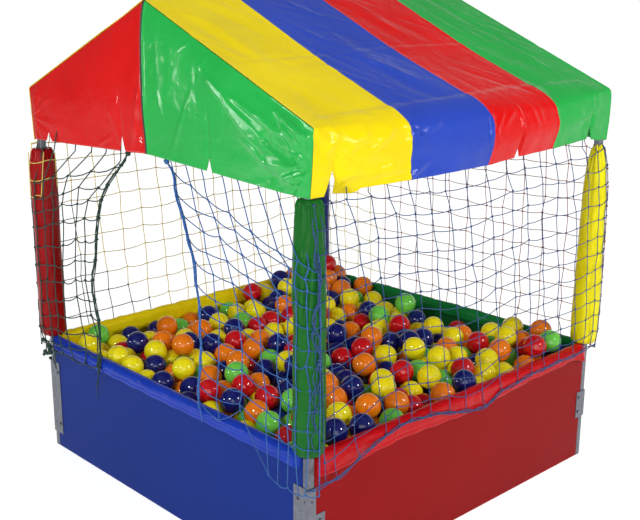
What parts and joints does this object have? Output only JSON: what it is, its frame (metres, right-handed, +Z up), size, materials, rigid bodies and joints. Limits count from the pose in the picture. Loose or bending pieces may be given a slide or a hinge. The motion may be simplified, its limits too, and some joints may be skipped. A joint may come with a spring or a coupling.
{
  "type": "ball pit",
  "caption": "Square ball pit with padded board walls, foam-sleeved corner posts, netted sides, an open doorway and a striped gabled canopy, filled with plastic balls.",
  "frame": {"origin": "middle of the square footprint, on the floor", "axes": "+Z up; the doorway and the blue panel face -Y; the red panel faces +X; the ridge runs along Y"},
  "size_m": [1.3986, 1.3716, 1.543],
  "materials": {
    "galvanised_steel": "galvanised",
    "zinc_plate": "galvanised plate",
    "socket_plastic": "matte",
    "board_blue": "satin paint",
    "board_red": "satin paint",
    "board_green": "satin paint",
    "board_yellow": "satin paint",
    "vinyl_blue": "glossy coated cloth",
    "vinyl_red": "glossy coated cloth",
    "vinyl_green": "glossy coated cloth",
    "vinyl_yellow": "glossy coated cloth",
    "vinyl_navy": "glossy coated cloth",
    "mat_foam": "matte foam",
    "cloth_yellow": "shiny woven",
    "cloth_blue": "shiny woven",
    "cloth_red": "shiny woven",
    "cloth_green": "shiny woven",
    "net_blue": "knotted twine",
    "net_orange": "knotted twine",
    "net_yellow": "knotted twine",
    "net_green": "knotted twine",
    "ball_yellow": "gloss",
    "ball_orange": "gloss",
    "ball_red": "gloss",
    "ball_blue": "gloss",
    "ball_green": "gloss"
  },
  "bodies": {
    "pit": {"post_front_left": "galvanised_steel", "post_front_right": "galvanised_steel", "post_back_right": "galvanised_steel", "post_back_left": "galvanised_steel", "rail_front": "galvanised_steel", "rail_back": "galvanised_steel", "rail_left": "galvanised_steel", "rail_right": "galvanised_steel", "rafter_front_left": "galvanised_steel", "rafter_front_right": "galvanised_steel", "rafter_back_right": "galvanised_steel", "rafter_back_left": "galvanised_steel", "ridge_bar": "galvanised_steel", "socket_front_left": "socket_plastic", "socket_front_right": "socket_plastic", "socket_back_right": "socket_plastic", "socket_back_left": "socket_plastic", "peak_socket_front": "socket_plastic", "peak_socket_back": "socket_plastic", "panel_front": "board_blue", "rim_front": "vinyl_blue", "panel_right": "board_red", "rim_right": "vinyl_red", "panel_back": "board_green", "rim_back": "vinyl_green", "panel_left": "board_yellow", "rim_left": "vinyl_yellow", "sleeve_front_left": "vinyl_red", "sleeve_front_right": "vinyl_green", "sleeve_back_right": "vinyl_yellow", "sleeve_back_left": "vinyl_navy", "long_bracket_left": "zinc_plate", "short_plate_left": "zinc_plate", "short_bracket_left": "zinc_plate", "long_bracket_right": "zinc_plate", "short_plate_right": "zinc_plate", "short_bracket_right": "zinc_plate", "floor_mat": "mat_foam", "canopy_stripe_yellow": "cloth_yellow", "canopy_stripe_blue": "cloth_blue", "canopy_stripe_red": "cloth_red", "canopy_stripe_green": "cloth_green", "gable_front_left": "cloth_red", "gable_front_right": "cloth_green", "gable_back_left": "cloth_red", "gable_back_right": "cloth_green", "net_right": "net_blue", "net_back": "net_orange", "net_left": "net_yellow", "net_front_left": "net_green", "net_front_right": "net_blue", "ball_fill": "ball_blue", "ball_layer": "ball_yellow"},
    "left_edge": {"doorway_rope_left": "net_green"},
    "right_edge": {"doorway_rope_right": "net_blue"},
    "loose_ball_yellow_body": {"loose_ball_yellow": "ball_yellow"},
    "loose_ball_orange_body": {"loose_ball_orange": "ball_orange"},
    "loose_ball_red_body": {"loose_ball_red": "ball_red"},
    "loose_ball_navy_body": {"loose_ball_navy": "ball_blue"},
    "loose_ball_lime_body": {"loose_ball_lime": "ball_green"}
  },
  "joints": [
    {"name": "left_edge_swing", "type": "hinge", "parent": "pit", "child": "left_edge", "pos_m": [-0.1254, -0.6612, 1.102], "axis": [0, -1, 0], "range_deg": [-12, 18], "deforming": ["net_front_left"]},
    {"name": "right_edge_swing", "type": "hinge", "parent": "pit", "child": "right_edge", "pos_m": [0.05409, -0.6612, 1.102], "axis": [0, 1, 0], "range_deg": [-12, 14], "deforming": ["net_front_right"]},
    {"name": "loose_ball_yellow_lift", "type": "slide", "parent": "pit", "child": "loose_ball_yellow_body", "axis": [0, 0, 1], "range_m": [0, 0.5]},
    {"name": "loose_ball_orange_lift", "type": "slide", "parent": "pit", "child": "loose_ball_orange_body", "axis": [0, 0, 1], "range_m": [0, 0.5]},
    {"name": "loose_ball_red_lift", "type": "slide", "parent": "pit", "child": "loose_ball_red_body", "axis": [0, 0, 1], "range_m": [0, 0.5]},
    {"name": "loose_ball_navy_lift", "type": "slide", "parent": "pit", "child": "loose_ball_navy_body", "axis": [0, 0, 1], "range_m": [0, 0.5]},
    {"name": "loose_ball_lime_lift", "type": "slide", "parent": "pit", "child": "loose_ball_lime_body", "axis": [0, 0, 1], "range_m": [0, 0.5]}
  ]
}
